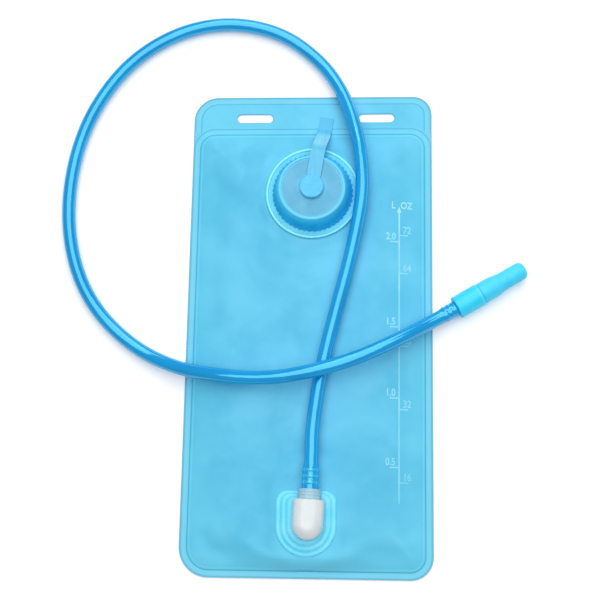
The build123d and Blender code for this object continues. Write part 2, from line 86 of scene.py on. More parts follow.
# The hose: its radii, its ways out of the outlet and into the valve, and its route as in the CAD, in metres
HOSE_RADIUS, HOSE_BORE = 4.9, 3.25
OUTLET_TURN, VALVE_TURN = math.radians(3), math.radians(30.8)  # from +Y towards +X, and from +X towards +Y
OUTLET_WAY = Vector((math.sin(OUTLET_TURN), math.cos(OUTLET_TURN), 0))
VALVE_WAY = Vector((math.cos(VALVE_TURN), math.sin(VALVE_TURN), 0))
HOSE_ROUTE = [
    (0.0033, -0.1161, 0.0186),
    (0.0042944, -0.097126, 0.0186),
    (0.0040, -0.0745, 0.0170),
    (0.0086, -0.0400, 0.0155),
    (0.0142, -0.0125, 0.0154),
    (0.0214, 0.0170, 0.0154),
    (0.0284, 0.0440, 0.0162),
    (0.0340, 0.0705, 0.0178),
    (0.0382, 0.0970, 0.0184),
    (0.0366, 0.1255, 0.0176),
    (0.0318, 0.1495, 0.0144),
    (0.0217, 0.1787, 0.0076),
    (0.0058, 0.2026, 0.00495),
    (-0.0226, 0.2253, 0.00495),
    (-0.0608, 0.2348, 0.00495),
    (-0.1001, 0.2284, 0.00495),
    (-0.1364, 0.2054, 0.00495),
    (-0.1616, 0.1710, 0.00495),
    (-0.1756, 0.1321, 0.00495),
    (-0.1797, 0.0863, 0.00495),
    (-0.1717, 0.0435, 0.00495),
    (-0.1537, 0.0102, 0.00495),
    (-0.1247, -0.0163, 0.00495),
    (-0.0932, -0.0316, 0.0104),
    (-0.0650, -0.0372, 0.0178),
    (-0.0370, -0.0405, 0.0228),
    (-0.0086, -0.0390, 0.0274),
    (0.0307, -0.0285, 0.0274),
    (0.0620, -0.0130, 0.0224),
    (0.090857, 0.005207, 0.0081),
    (0.1046, 0.0134, 0.0081),
]


# ---------------------------------------------------------------- materials


def shader(name, **sockets):
    """A new material, its tree and its Principled shader, with these sockets set."""
    material = bpy.data.materials.new(name)
    material.use_nodes = True
    principled = material.node_tree.nodes["Principled BSDF"]
    for key, value in sockets.items():
        principled.inputs[key.replace("_", " ")].default_value = value
    return material, material.node_tree, principled


def feed(tree, principled, **sockets):
    """Link these outputs to the shader's sockets."""
    for key, value in sockets.items():
        tree.links.new(value, principled.inputs[key.replace("_", " ")])


def node(tree, kind, inputs=(), **settings):
    """A new node. inputs maps a socket's name or number to a value, or to another node's output."""
    made = tree.nodes.new("ShaderNode" + kind)
    for key, value in settings.items():
        setattr(made, key, value)
    for key, value in dict(inputs).items():
        if isinstance(value, bpy.types.NodeSocket):
            tree.links.new(value, made.inputs[key])
        else:
            made.inputs[key].default_value = value
    return made


def maths(tree, operation, a, b=0.0):
    return node(tree, "Math", {0: a, 1: b}, operation=operation).outputs[0]


def times(tree, a, b):
    return maths(tree, "MULTIPLY", a, b)


def most(tree, first, *others):
    """The largest of these values."""
    for other in others:
        first = maths(tree, "MAXIMUM", first, other)
    return first


def vector_maths(tree, operation, a, b=(0, 0, 0), output="Vector"):
    return node(tree, "VectorMath", {0: a, 1: b}, operation=operation).outputs[output]


def spread(tree, value, low, high, to_low=0.0, to_high=1.0):
    """value from low..high to to_low..to_high, clamped and smooth."""
    return node(
        tree,
        "MapRange",
        {"Value": value, "From Min": low, "From Max": high, "To Min": to_low, "To Max": to_high},
        interpolation_type="SMOOTHSTEP",
    ).outputs[0]


def mixed(tree, share, a, b):
    """A colour between a and b. Each is three numbers or a node's output, and share is a node's output."""
    shades = [shade if isinstance(shade, bpy.types.NodeSocket) else (*shade, 1) for shade in (a, b)]
    return node(tree, "Mix", {0: share, 6: shades[0], 7: shades[1]}, data_type="RGBA").outputs[2]


def object_place(tree):
    return node(tree, "TexCoord").outputs["Object"]


def coordinate(tree, place, axis):
    return node(tree, "SeparateXYZ", {0: place}).outputs[axis]


def stored(tree, name):
    """A number kept at the mesh's vertices."""
    return node(tree, "Attribute", attribute_name=name).outputs["Fac"]


def clouds(tree, place, size_mm, detail=3.0, roughness=0.5, distortion=0.0):
    """Noise whose features are about size_mm across."""
    settings = {"Scale": 1 / (size_mm * MM), "Detail": detail, "Roughness": roughness, "Distortion": distortion}
    return node(tree, "TexNoise", {"Vector": place, **settings}).outputs[0]


def bumps(tree, height, distance_mm):
    return node(tree, "Bump", {"Height": height, "Distance": distance_mm * MM, "Strength": 1.0}).outputs[0]


def moulded(name, light, dark, size_mm=9.0, roughness=(0.25, 0.4), grain_mm=0.8, grain_depth=0.02):
    """A moulded plastic or rubber: two close tones in soft clouds, uneven gloss and a fine grain."""
    material, tree, principled = shader(name)
    place = object_place(tree)
    cloud = clouds(tree, place, size_mm, detail=4)
    smear = clouds(tree, place, size_mm * 0.4, detail=2)
    grain = clouds(tree, place, grain_mm, detail=2)
    feed(
        tree,
        principled,
        Base_Color=mixed(tree, spread(tree, cloud, 0.35, 0.65), dark, light),
        Roughness=spread(tree, smear, 0.3, 0.7, *roughness),
        Normal=bumps(tree, grain, grain_depth),
    )
    return material, tree, principled


def tint(tree, principled, share, colour):
    """Bring the shader's colour so far towards this one."""
    plain = principled.inputs["Base Color"].links[0].from_socket
    feed(tree, principled, Base_Color=mixed(tree, share, plain, colour))


def weld_band(tree, distance):
    """1 in the band from 0 to the seal's width, with soft edges."""
    rise = spread(tree, distance, -0.25, 0.35)
    fall = spread(tree, distance, SEAL_WIDTH - 0.35, SEAL_WIDTH + 0.25, 1.0, 0.0)
    return times(tree, rise, fall)


def line_at(tree, distance, at, half_width):
    """1 on the line where distance is at, falling to 0 half_width away."""
    away = maths(tree, "ABSOLUTE", maths(tree, "SUBTRACT", distance, at))
    return spread(tree, away, 0.0, half_width, 1.0, 0.0)


def film_material():
    """Frosted blue film: cloudy tone, painted shade in the creases, painted light along the margins,
    heat-sealed bands with dark edges, a painted highlight inside the seal, a fine matt grain.
    """
    material, tree, principled = shader("bag_film", Specular_IOR_Level=0.28)
    place = object_place(tree)
    weld, edge, header, crease, cut = (
        stored(tree, name) for name in ("weld", "edge", "header", "crease", "cut")
    )
    broad = clouds(tree, place, 60, detail=3, roughness=0.55, distortion=0.6)
    fine = clouds(tree, place, 14, detail=4, roughness=0.6)
    tone = mixed(tree, spread(tree, broad, 0.35, 0.66), (0.078, 0.495, 0.742), (0.128, 0.588, 0.836))
    tone = mixed(tree, spread(tree, fine, 0.30, 0.75, 0.0, 0.30), tone, (0.152, 0.632, 0.862))
    # painted shade: darker in the creases, where the front sheet sinks towards the back one
    tone = mixed(tree, times(tree, crease, 0.34), tone, (0.045, 0.420, 0.670))
    # painted light: paler along the seams and at the bottom, lifting the shade of the sloping margins, where
    # the two films also lie close together; paler in the header, where they lie close together
    up_bag = coordinate(tree, place, "Y")
    closeness_and_painted_light = most(
        tree,
        times(tree, spread(tree, weld, -30.0, -1.0), 0.30),
        times(tree, header, 0.25),
        spread(tree, up_bag, -168 * MM, -148 * MM, 0.62, 0.0),
    )
    tone = mixed(tree, closeness_and_painted_light, tone, (0.160, 0.660, 0.890))
    tone = mixed(tree, spread(tree, edge, 2.0, 5.6, 0.6, 0.0), tone, (0.200, 0.550, 0.720))
    # the seal round the reservoir, and the seal round the header's own edge
    rim = times(tree, weld_band(tree, maths(tree, "SUBTRACT", edge, RIM_SEAL_AT)), header)
    band = most(tree, weld_band(tree, weld), rim)
    tone = mixed(tree, times(tree, band, 0.35), tone, (0.165, 0.680, 0.890))
    # dark lines: both sides of each seal, the sheets' edge and the slots' edges
    rim_lines = most(
        tree,
        line_at(tree, edge, RIM_SEAL_AT, 0.6),
        line_at(tree, edge, RIM_SEAL_AT + SEAL_WIDTH, 0.7),
    )
    dark = most(
        tree,
        line_at(tree, weld, 0.0, 0.75),
        times(tree, line_at(tree, weld, SEAL_WIDTH, 0.7), 0.9),
        times(tree, rim_lines, times(tree, header, 0.9)),
        spread(tree, edge, 0.0, 0.9, 1.0, 0.0),
        spread(tree, cut, 0.1, 1.1, 0.8, 0.0),
    )
    tone = mixed(tree, times(tree, dark, 0.55), tone, (0.015, 0.290, 0.500))
    # a painted highlight: a bright line just inside the reservoir's seal
    painted_seal_highlight = line_at(tree, weld, -1.6, 1.1)
    tone = mixed(tree, times(tree, painted_seal_highlight, 0.42), tone, (0.190, 0.780, 0.970))
    smear = clouds(tree, place, 22, detail=3)
    grain = clouds(tree, place, 1.2, detail=3, roughness=0.7)
    relief = maths(tree, "SUBTRACT", times(tree, grain, 0.05), times(tree, band, 0.12))
    relief = maths(tree, "SUBTRACT", relief, times(tree, dark, 0.10))
    feed(
        tree,
        principled,
        Base_Color=tone,
        Roughness=spread(tree, smear, 0.3, 0.7, 0.38, 0.52),
        Normal=bumps(tree, relief, 1.0),
    )
    return material


def hose_material():
    """Blue tube: a deep tone, and a glossy skin that reflects the lights as a long streak."""
    material, tree, principled = shader(
        "hose_tube",
        Transmission_Weight=0.06,
        IOR=1.8,
        Roughness=0.06,
        Specular_IOR_Level=1.0,
        Specular_Tint=(0.32, 1.0, 1.0, 1.0),
    )
    place = object_place(tree)
    cloud = clouds(tree, place, 30, detail=2)
    tone = mixed(tree, spread(tree, cloud, 0.35, 0.65), (0.0, 0.300, 0.740), (0.001, 0.345, 0.810))
    # paler where the fittings' barbs press on the wall
    tone = mixed(tree, times(tree, stored(tree, "pressed"), 0.55), tone, (0.060, 0.620, 1.0))
    drag = clouds(tree, place, 3.5, detail=2)
    feed(tree, principled, Base_Color=tone, Normal=bumps(tree, drag, 0.015))
    return material


def cap_material():
    """Saturated blue skirt under a milky disc, which is the liner seen through the top plate."""
    material, tree, principled = shader(
        "cap_shell_plastic", Specular_IOR_Level=0.45, Specular_Tint=(0.35, 0.90, 1.0, 1.0)
    )
    place = object_place(tree)
    flat = vector_maths(tree, "SUBTRACT", place, (CAP_X * MM, CAP_Y * MM, 0))
    flat = vector_maths(tree, "MULTIPLY", flat, (1, 1, 0))
    radius = vector_maths(tree, "LENGTH", flat, output="Value")
    height = coordinate(tree, place, "Z")
    cloud = clouds(tree, place, 12, detail=4, distortion=0.5)
    disc = mixed(tree, spread(tree, cloud, 0.3, 0.7), (0.118, 0.405, 0.620), (0.158, 0.460, 0.685))
    # painted light: the disc is paler round the button, lifting the button's shadow there
    painted_light_by_button = spread(tree, radius, 8.4 * MM, 12.0 * MM, 0.75, 0.0)
    disc = mixed(tree, painted_light_by_button, disc, (0.200, 0.640, 0.920))
    # painted light: the skirt is paler towards the rim, which faces the lights, and a painted highlight makes
    # the rim paler still
    skirt = mixed(tree, spread(tree, cloud, 0.3, 0.7), (0.010, 0.410, 0.840), (0.016, 0.485, 0.960))
    painted_light_shoulder = spread(tree, height, (CAP_BOTTOM + 4.0) * MM, (CAP_TOP - 1.5) * MM)
    skirt = mixed(tree, painted_light_shoulder, skirt, (0.060, 0.660, 1.0))
    rim = spread(tree, height, (CAP_TOP - 2.2) * MM, (CAP_TOP - 0.4) * MM)
    skirt = mixed(tree, rim, skirt, (0.150, 0.640, 0.980))
    inside = spread(tree, radius, 20.8 * MM, 22.6 * MM, 1.0, 0.0)
    above = spread(tree, height, (CAP_TOP - 1.2) * MM, (CAP_TOP - 0.9) * MM)
    smear = clouds(tree, place, 6, detail=2)
    # fine turning marks round the axis
    turned = maths(tree, "SINE", times(tree, radius, 2.6 / MM))
    grain = maths(tree, "ADD", times(tree, turned, 0.15), clouds(tree, place, 1.0))
    feed(
        tree,
        principled,
        Base_Color=mixed(tree, times(tree, inside, above), skirt, disc),
        Roughness=spread(tree, smear, 0.3, 0.7, 0.22, 0.36),
        Normal=bumps(tree, grain, 0.02),
    )
    return material


def flange_material():
    """Clear flange: the film's tone where it lies flat, and a painted highlight on the bead round its edge."""
    material, tree, principled = moulded(
        "clear_flange", (0.090, 0.640, 0.880), (0.060, 0.570, 0.830), roughness=(0.18, 0.30)
    )
    height = coordinate(tree, object_place(tree), "Z")
    painted_highlight_bead = spread(tree, height, (FLANGE_FOOT + 1.75) * MM, (FLANGE_FOOT + 2.1) * MM)
    neck = spread(tree, height, (FLANGE_FOOT + 2.3) * MM, (FLANGE_FOOT + 2.6) * MM, 1.0, 0.0)
    # painted highlight on the bead round the flange's edge
    tint(tree, principled, times(tree, painted_highlight_bead, neck), (0.230, 0.850, 1.0))
    return material


def strap_material():
    """Translucent strip: it takes the tone of what it lies on, and painted light makes it palest where it
    stands clear.
    """
    material, tree, principled = shader("strap_strip", Specular_IOR_Level=0.4)
    place = object_place(tree)
    height = coordinate(tree, place, "Z")
    streaks = vector_maths(tree, "MULTIPLY", place, (3.0, 0.35, 0.2))
    cloud = clouds(tree, streaks, 7, detail=4, roughness=0.6)
    over_bag = spread(tree, height, 1.5 * MM, 9 * MM)
    over_cap = spread(tree, height, 19 * MM, 25 * MM, 1.0, 0.20)
    lying = mixed(tree, spread(tree, cloud, 0.3, 0.7), (0.058, 0.455, 0.735), (0.085, 0.510, 0.790))
    # painted light: the strip is palest where it stands clear of the bag and the cap
    painted_light_clear = mixed(tree, spread(tree, cloud, 0.3, 0.7), (0.215, 0.655, 0.910), (0.295, 0.745, 0.960))
    feed(
        tree,
        principled,
        Base_Color=mixed(tree, times(tree, over_bag, over_cap), lying, painted_light_clear),
        Roughness=spread(tree, cloud, 0.3, 0.7, 0.32, 0.46),
        Normal=bumps(tree, cloud, 0.04),
    )
    return material


def ink_material():
    """Pale ink, with painted shade that fades it into the film's tone towards the bottom of the bag."""
    material, tree, principled = moulded(
        "scale_ink",
        (0.340, 0.765, 0.930),
        (0.210, 0.685, 0.890),
        size_mm=16.0,
        roughness=(0.35, 0.5),
        grain_depth=0.03,
    )
    up_bag = coordinate(tree, object_place(tree), "Y")
    # painted shade: the ink fades into the film's tone lower down
    painted_shade_fade = spread(tree, up_bag, 70 * MM, -120 * MM, 0.0, 0.55)
    tint(tree, principled, painted_shade_fade, (0.125, 0.600, 0.830))
    return material


def elbow_material():
    """White plastic, with painted shade and a painted reflection of the film's blue towards its foot."""
    material, tree, principled = moulded(
        "white_elbow", (0.74, 0.79, 0.81), (0.68, 0.75, 0.78), roughness=(0.16, 0.24), grain_depth=0.008
    )
    height = coordinate(tree, object_place(tree), "Z")
    painted_shade_foot = spread(tree, height, (ELBOW_FOOT + 1.0) * MM, (ELBOW_FOOT + 9.0) * MM, 0.75, 0.0)
    # painted shade and painted reflection of the film's blue towards the foot
    tint(tree, principled, painted_shade_foot, (0.400, 0.600, 0.760))
    return material


def collar_material():
    """The valve's sleeve, with a painted highlight as a paler lip round its front edge."""
    material, tree, principled = moulded(
        "valve_body", (0.028, 0.705, 1.0), (0.018, 0.645, 0.985), roughness=(0.36, 0.48), grain_mm=0.6
    )
    front = max(vertex.co.dot(VALVE_WAY) for vertex in nodes["valve_collar"].data.vertices)
    along = vector_maths(tree, "DOT_PRODUCT", object_place(tree), VALVE_WAY, output="Value")
    painted_highlight_lip = spread(tree, along, front - 3.0 * MM, front - 1.4 * MM)
    # painted highlight: a paler lip round the collar's front edge
    tint(tree, principled, painted_highlight_lip, (0.070, 0.730, 1.0))
    return material


FILM_LOOK = film_material()
HOSE_LOOK = hose_material()
STRAP_LOOK = strap_material()
INK_LOOK = ink_material()
PORT_LOOK = moulded("port_flange", (0.162, 0.735, 0.975), (0.122, 0.685, 0.940), roughness=(0.22, 0.34))[0]
CONNECTOR_LOOK = moulded("connector_nylon", (0.38, 0.60, 0.72), (0.30, 0.54, 0.68), roughness=(0.25, 0.35))[0]
RING_LOOK = moulded("ring_rubber", (0.02, 0.02, 0.02), (0.01, 0.01, 0.01), roughness=(0.5, 0.6))[0]
GASKET_LOOK = moulded("gasket_silicone", (0.80, 0.84, 0.87), (0.70, 0.75, 0.80), roughness=(0.5, 0.6))[0]
BUTTON_LOOK = moulded(
    "button_plastic", (0.085, 0.570, 0.900), (0.060, 0.510, 0.850), roughness=(0.3, 0.4), size_mm=6.0
)[0]
MOUTH_LOOK = moulded(
    "valve_silicone", (0.054, 0.700, 1.0), (0.038, 0.640, 0.990), roughness=(0.42, 0.54), grain_mm=0.5
)[0]

for name, look in {
    "filler_neck": flange_material(),
    "cap_shell": cap_material(),
    "cap_liner": moulded("liner_disc", (0.60, 0.80, 0.90), (0.50, 0.72, 0.86))[0],
    "cap_gasket": GASKET_LOOK,
    "tether_button": BUTTON_LOOK,
    "port_flange": PORT_LOOK,
    "outlet_elbow": elbow_material(),
    "elbow_o_ring": RING_LOOK,
    "hose_connector": CONNECTOR_LOOK,
    "valve_connector": CONNECTOR_LOOK,
    "valve_collar": collar_material(),
    "valve_o_ring": RING_LOOK,
    "mouthpiece": MOUTH_LOOK,
}.items():
    for material_slot in nodes[name].material_slots:
        material_slot.material = look


# ---------------------------------------------------------------- meshes


def piece(name, vertices, faces, look, body, stands_for=(), sharp=40):
    """A mesh piece, from vertices in millimetres."""
    mesh = bpy.data.meshes.new(name)
    mesh.from_pydata([tuple(v) for v in np.asarray(vertices, float) * MM], [], faces)
    mesh.update()
    mesh.shade_smooth()
    mesh.set_sharp_from_angle(angle=math.radians(sharp))
    mesh.materials.append(look)
    obj = bpy.data.objects.new(name, mesh)
    bpy.context.scene.collection.objects.link(obj)
    if body:
        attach(obj, body)
    if stands_for:
        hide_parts(*stands_for)
    return obj


def store(obj, name, values):
    """Keep a number at each vertex, for the material to read."""
    attribute = obj.data.attributes.new(name, "FLOAT", "POINT")
    attribute.data.foreach_set("value", values.astype(np.float32))


def curve_mesh(name, curve):
    """The mesh that Blender makes of a curve or a text."""
    obj = bpy.data.objects.new(name, curve)
    bpy.context.scene.collection.objects.link(obj)
    bpy.context.view_layer.update()
    mesh = bpy.data.meshes.new_from_object(obj)
    bpy.data.objects.remove(obj)
    return mesh


def smooth(t):
    t = np.clip(t, 0, 1)
    return t * t * (3 - 2 * t)


def arc(x, y, radius, start, end, steps):
    """Points on a circle's arc from one angle to another, in degrees, both ends included."""
    angles = [math.radians(start + (end - start) * i / steps) for i in range(steps + 1)]
    return [(x + radius * math.cos(angle), y + radius * math.sin(angle)) for angle in angles]


def rounded_distance(x, y, limits, radii):
    """How far outside a rectangle with rounded corners a point lies, negative inside."""
    left, right, low, high = limits
    dx, dy = x - (left + right) / 2, y - (low + high) / 2
    r = np.where(
        dx < 0,
        np.where(dy < 0, radii[0], radii[3]),
        np.where(dy < 0, radii[1], radii[2]),
    )
    qx, qy = abs(dx) - (right - left) / 2 + r, abs(dy) - (high - low) / 2 + r
    return np.minimum(np.maximum(qx, qy), 0) + np.hypot(np.maximum(qx, 0), np.maximum(qy, 0)) - r


def rounded_loop(limits, radii, step):
    """Points round a rectangle with rounded corners, anticlockwise."""
    left, right, low, high = limits
    corners = []
    for x, y, start, r in zip(
        (left, right, right, left), (low, low, high, high), (180, 270, 0, 90), radii
    ):
        middle = (x + (r if x == left else -r), y + (r if y == low else -r))
        corners += arc(*middle, r, start, start + 90, max(5, round(2.4 * r / step)))
    points = []
    for a, b in zip(corners, corners[1:] + corners[:1]):
        count = max(1, round(math.dist(a, b) / step))
        points += [tuple(a[k] + (b[k] - a[k]) * i / count for k in (0, 1)) for i in range(count)]
    return points


def circle_loop(x, y, r, count):
    return arc(x, y, r, 0, 360, count)[:-1]


def slot_gap(x, y):
    """How far outside the nearest hanging slot a point lies, negative inside."""
    straight = (SLOT_LENGTH - SLOT_WIDTH) / 2
    gaps = [
        np.hypot(np.maximum(abs(x - at_x) - straight, 0), y - at_y) - SLOT_WIDTH / 2 for at_x, at_y in SLOTS
    ]
    return np.min(gaps, axis=0)


def slot_loop(x, y):
    """Points round the hanging slot whose middle is here."""
    straight = (SLOT_LENGTH - SLOT_WIDTH) / 2
    right = arc(x + straight, y, SLOT_WIDTH / 2, -90, 90, 16)
    return right + arc(x - straight, y, SLOT_WIDTH / 2, 90, 270, 16)


def cut_sheet(outer, holes, interior, in_hole):
    """Triangles that fill outer but for holes, through the interior points: (points, faces)."""
    points, edges = [], []
    for loop in (outer, *holes):
        first = len(points)
        points += loop
        edges += [(first + i, first + (i + 1) % len(loop)) for i in range(len(loop))]
    points += [tuple(p) for p in interior]
    made = geometry.delaunay_2d_cdt([Vector(p) for p in points], edges, [], 0, 1e-5)
    flat = np.array([tuple(v) for v in made[0]])
    faces = [f for f in made[2] if not in_hole(*flat[list(f)].mean(axis=0))]
    return flat, faces


def closed_mesh(upper, lower, faces):
    """A closed mesh from two layers of one triangulation, whose faces look up: (vertices, faces)."""
    count = len(upper)
    sides = {(f[i], f[(i + 1) % len(f)]) for f in faces for i in range(len(f))}
    closed = [tuple(f) for f in faces]
    closed += [tuple(count + i for i in reversed(f)) for f in faces]
    closed += [(b, a, count + a, count + b) for a, b in sides if (b, a) not in sides]
    return np.vstack([upper, lower]), closed


def thick_sheet(flat, faces, top, bottom):
    """A closed mesh between two heights over a flat triangulation."""
    return closed_mesh(np.c_[flat, top], np.c_[flat, bottom], faces)


# ---------------------------------------------------------------- the two films

GRID_STEP, EDGE_STEP = 2.2, 1.8  # between the points inside the sheets, and along their outlines
CLEAR_OF_EDGE, CLEAR_OF_ROW = 0.9, 0.8  # from an inner point to an outline, and to a row along the seal
FILMS_APART = 0.01  # so that the two sheets share no face
HEADER_LOW, DEEP_CREASE = 147.5, 1.5  # where the header begins, and a crease's depth that counts as full
WELD_ROWS = (SEAL_WIDTH, 0.0, -1.5, -3.2)  # rows of points along the reservoir's seal, this far outside it


def wave(x, y, size, seed):
    """Soft noise from about -1 to 1, with features of this size."""
    return np.array([noise.noise(Vector((a / size, b / size, seed))) for a, b in zip(x, y)])


def lift(x, y):
    """How far the header's free edge stands off the table."""
    return 0.9 * smooth((y - 150) / 24) * np.clip(0.35 + wave(x, y, 45, 3.1), 0, 1)


# Creases of the nearly empty bag: x and y of each end, half width and depth
CREASES = [
    (-74, 112, -40, 82, 9, 1.5),
    (-60, 70, -20, 40, 14, 0.9),
    (-80, 40, -30, 20, 12, 0.7),
    (-80, 5, -10, -8, 12, 1.0),
    (66, 132, 78, 118, 8, 1.4),
    (-74, -150, -56, -164, 8, 1.6),
    (-66, -120, -20, -100, 16, 0.6),
    (20, -90, 78, -120, 18, 0.7),
    (45, -60, 78, -30, 12, 0.6),
    (50, 40, 80, 20, 12, 0.5),
    (-60, 128, -30, 134, 7, 0.8),
    (30, -150, 60, -164, 9, 1.0),
]


def creasing(x, y):
    """How deep the creases are at each point, in millimetres."""
    depth = np.zeros_like(x)
    for ax, ay, bx, by, half, deepest in CREASES:
        run = np.array([bx - ax, by - ay], float)
        share = np.clip(((x - ax) * run[0] + (y - ay) * run[1]) / run.dot(run), 0, 1)
        away = np.hypot(x - ax - share * run[0], y - ay - share * run[1])
        depth += deepest * np.exp(-((away / half) ** 2))
    return depth


def front_top(x, y):
    """Height of the front sheet's upper face."""
    inside = -rounded_distance(x, y, RESERVOIR, RESERVOIR_RADII)
    off_flange = np.hypot(x - CAP_X, y - CAP_Y) - FLANGE_RADIUS
    off_port = np.hypot(x - PORT_X, np.maximum(abs(y - PORT_Y - 8) - 12, 0))
    # the sloping margin is narrow beside the port, so that the port's flange lies flat
    margin = 9 + 25 * smooth((off_port - 22) / 40)
    t = np.clip(inside / margin, 0, 1)
    z = 2 * FILM + (FILM_TOP - 2 * FILM) * (1 - (1 - t) ** 2)
    # creases, dimples and ripples, and puckers round the filler's flange
    sink = creasing(x, y) + 0.55 * (1 + wave(x, y, 34, 7.7)) + 0.16 * (1 + wave(x, y, 11, 1.9))
    pucker = np.cos(np.arctan2(y - CAP_Y, x - CAP_X) * 14 + 2.5 * wave(x, y, 20, 5.5))
    sink += 0.22 * (1 + pucker) * np.exp(-np.clip(off_flange, 0, 99) / 9)
    free = smooth((off_flange - 0.5) / 7) * smooth((off_port - 23) / 8)
    return z - sink * free * smooth(inside / 16) + lift(x, y)


def build_film(name, stands_for, round_holes, faces_at):
    """One sheet of the bag. faces_at gives the heights of its upper and lower face at each point."""

    def hole_gap(x, y):
        gaps = [np.hypot(x - at_x, y - at_y) - radius for at_x, at_y, radius, _ in round_holes]
        return np.min([slot_gap(x, y), *gaps], axis=0)

    grid_x, grid_y = np.meshgrid(np.arange(-88, 88.1, GRID_STEP), np.arange(-175, 175.1, GRID_STEP))
    grid = np.c_[grid_x.ravel(), grid_y.ravel()]
    off_seal = rounded_distance(grid[:, 0], grid[:, 1], RESERVOIR, RESERVOIR_RADII)
    inner = [grid[np.min([abs(off_seal - off) for off in WELD_ROWS], axis=0) > CLEAR_OF_ROW]]
    left, right, low, high = RESERVOIR
    for off in WELD_ROWS:
        limits = (left - off, right + off, low - off, high + off)
        inner.append(rounded_loop(limits, [r + off for r in RESERVOIR_RADII], GRID_STEP))
    inner = np.vstack(inner)
    off_edge = rounded_distance(inner[:, 0], inner[:, 1], SHEET, SHEET_RADII)
    fits = (off_edge < -CLEAR_OF_EDGE) & (hole_gap(inner[:, 0], inner[:, 1]) > CLEAR_OF_EDGE)
    flat, faces = cut_sheet(
        rounded_loop(SHEET, SHEET_RADII, EDGE_STEP),
        [slot_loop(*slot) for slot in SLOTS] + [circle_loop(*hole) for hole in round_holes],
        inner[fits],
        lambda x, y: hole_gap(np.array([x]), np.array([y]))[0] < -0.02,
    )
    vertices, closed = thick_sheet(flat, faces, *faces_at(flat[:, 0], flat[:, 1]))
    film = piece(name, vertices, closed, FILM_LOOK, "bag", [stands_for], sharp=60)
    x, y = vertices[:, 0], vertices[:, 1]
    store(film, "weld", rounded_distance(x, y, RESERVOIR, RESERVOIR_RADII))
    store(film, "edge", -rounded_distance(x, y, SHEET, SHEET_RADII))
    store(film, "header", smooth((y - HEADER_LOW) / 2.5))
    store(film, "crease", np.clip(creasing(x, y) / DEEP_CREASE, 0, 1))
    store(film, "cut", slot_gap(x, y))
    for vertex in film.data.vertices:
        vertex.co.x *= DRAWN_IN_X
        vertex.co.y *= DRAWN_IN_Y
    return film


def front_faces(x, y):
    top = front_top(x, y)
    return top, top - FILM


def back_faces(x, y):
    bottom = lift(x, y)
    return bottom + FILM - FILMS_APART, bottom


ROUND_HOLES = ((CAP_X, CAP_Y, NECK_HOLE, 72), (*OUTLET_HOLE_AT, OUTLET_HOLE, 32))  # x, y, radius, points
front = build_film("front_sheet", "front_film", ROUND_HOLES, front_faces)
back = build_film("back_sheet", "back_film", (), back_faces)


# ---------------------------------------------------------------- the hose

HOSE_SIDES = 40
START_FITTING, END_FITTING = 21, 15  # lengths of the finely divided stretches over the fittings
START_RINGS, END_RINGS = (4.3, 8.6, 12.8), (1.6, 5.4, 9.2)  # where the barbs press, from either end


def centreline(points):
    """The points of the route's smooth spline, in metres."""
    curve = bpy.data.curves.new("hose_route", "CURVE")
    curve.dimensions, curve.resolution_u = "3D", 14
    spline = curve.splines.new("NURBS")
    spline.points.add(len(points) - 1)
    for point, place in zip(spline.points, points):
        point.co = (*place, 1)
    spline.order_u = 3
    spline.use_endpoint_u = True
    mesh = curve_mesh("hose_route", curve)
    line = [v.co.copy() for v in mesh.vertices]
    bpy.data.meshes.remove(mesh)
    return line


def hose_profile(s, length):
    """At s millimetres from the hose's start: its outer and inner radius, swollen over both fittings' barbs,
    and how hard a barb presses."""
    from_end = length - s
    swell_start = 1 - smooth((s - 12.5) / 6.5)
    swell_end = 1 - smooth((from_end - 8.5) / 5.0)
    rings = sum(np.exp(-((s - at) ** 2)) for at in START_RINGS)
    end_rings = sum(np.exp(-((from_end - at) ** 2)) for at in END_RINGS)
    outer = HOSE_RADIUS + 0.85 * swell_start + 0.5 * rings + 0.40 * swell_end + 0.28 * end_rings
    inner = HOSE_BORE + 1.42 * swell_start + 0.86 * swell_end
    return outer, inner, np.clip(rings + 0.35 * end_rings, 0, 1)


